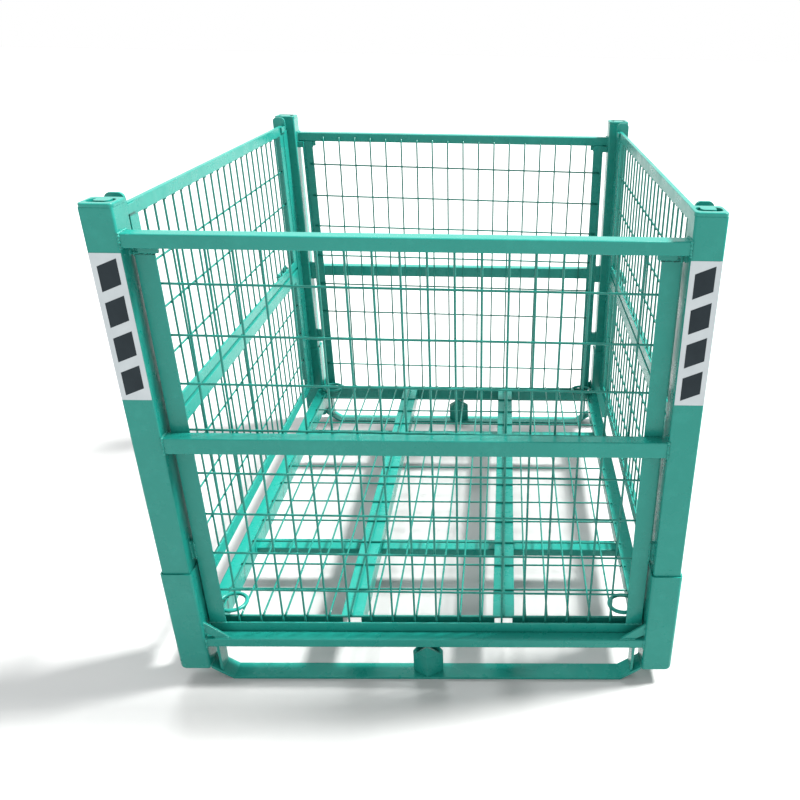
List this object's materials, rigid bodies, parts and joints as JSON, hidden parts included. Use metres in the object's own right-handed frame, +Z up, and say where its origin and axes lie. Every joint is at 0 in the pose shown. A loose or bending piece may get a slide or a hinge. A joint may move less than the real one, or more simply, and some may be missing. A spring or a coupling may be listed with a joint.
{
  "type": "wire mesh container",
  "caption": "Stackable steel wire mesh container on skid straps, with a lift-off cage and a fold-down gate in the upper half of each side",
  "frame": {"origin": "On the ground plane under the middle of the footprint, level with the undersides of the skid straps", "axes": "+X to the right of the front, +Y from the front to the rear, +Z up; the front is the fixed panel end at -Y"},
  "size_m": [1.142, 1.408, 1.08],
  "materials": {
    "frame_enamel": "glossy sea-green enamel over welded steel",
    "mesh_enamel": "glossy sea-green enamel over drawn steel wire",
    "label_film": null
  },
  "bodies": {
    "base": {"corner_socket_front_left": "frame_enamel", "corner_socket_front_right": "frame_enamel", "corner_socket_rear_left": "frame_enamel", "corner_socket_rear_right": "frame_enamel", "base_rail_front": "frame_enamel", "base_rail_rear": "frame_enamel", "floor_side_rail_left": "frame_enamel", "floor_side_rail_right": "frame_enamel", "floor_bearer_left": "frame_enamel", "floor_bearer_right": "frame_enamel", "floor_cross_members": "frame_enamel", "floor_edge_bars": "frame_enamel", "floor_mesh": "mesh_enamel", "corner_braces": "frame_enamel", "skid_strap_front": "frame_enamel", "skid_strap_rear": "frame_enamel", "strap_hangers": "frame_enamel", "centre_feet": "frame_enamel", "lashing_rings": "mesh_enamel"},
    "cage": {"corner_post_front_left": "frame_enamel", "corner_post_front_right": "frame_enamel", "corner_post_rear_left": "frame_enamel", "corner_post_rear_right": "frame_enamel", "post_caps": "frame_enamel", "top_rail_front": "frame_enamel", "top_rail_rear": "frame_enamel", "mid_rail_front": "frame_enamel", "mid_rail_rear": "frame_enamel", "top_rail_tabs": "frame_enamel", "front_panel_stiles": "frame_enamel", "front_panel_bottom_bar": "frame_enamel", "front_mesh": "mesh_enamel", "rear_panel_stiles": "frame_enamel", "rear_panel_bottom_bar": "frame_enamel", "rear_mesh": "mesh_enamel", "panel_spacer_lugs": "frame_enamel", "left_side_jambs": "frame_enamel", "right_side_jambs": "frame_enamel", "gate_stops": "frame_enamel", "left_lower_top_bar": "frame_enamel", "left_lower_bottom_bar": "frame_enamel", "left_lower_stiles": "frame_enamel", "left_lower_mesh": "mesh_enamel", "right_lower_top_bar": "frame_enamel", "right_lower_bottom_bar": "frame_enamel", "right_lower_stiles": "frame_enamel", "right_lower_mesh": "mesh_enamel", "fixed_knuckles": "frame_enamel", "hinge_pins": "frame_enamel", "post_labels": "label_film"},
    "left_gate": {"left_gate_top_rail": "frame_enamel", "left_gate_bottom_bar": "frame_enamel", "left_gate_stiles": "frame_enamel", "left_gate_mesh": "mesh_enamel", "left_gate_knuckles": "frame_enamel"},
    "right_gate": {"right_gate_top_rail": "frame_enamel", "right_gate_bottom_bar": "frame_enamel", "right_gate_stiles": "frame_enamel", "right_gate_mesh": "mesh_enamel", "right_gate_knuckles": "frame_enamel"}
  },
  "joints": [
    {"name": "cage_lift", "type": "slide", "parent": "base", "child": "cage", "axis": [0, 0, 1], "range_m": [0, 0.24]},
    {"name": "left_gate_hinge", "type": "hinge", "parent": "cage", "child": "left_gate", "pos_m": [-0.563, 0, 0.6095], "axis": [0, -1, 0], "range_deg": [0, 178]},
    {"name": "right_gate_hinge", "type": "hinge", "parent": "cage", "child": "right_gate", "pos_m": [0.563, 0, 0.6095], "axis": [0, 1, 0], "range_deg": [0, 178]}
  ]
}
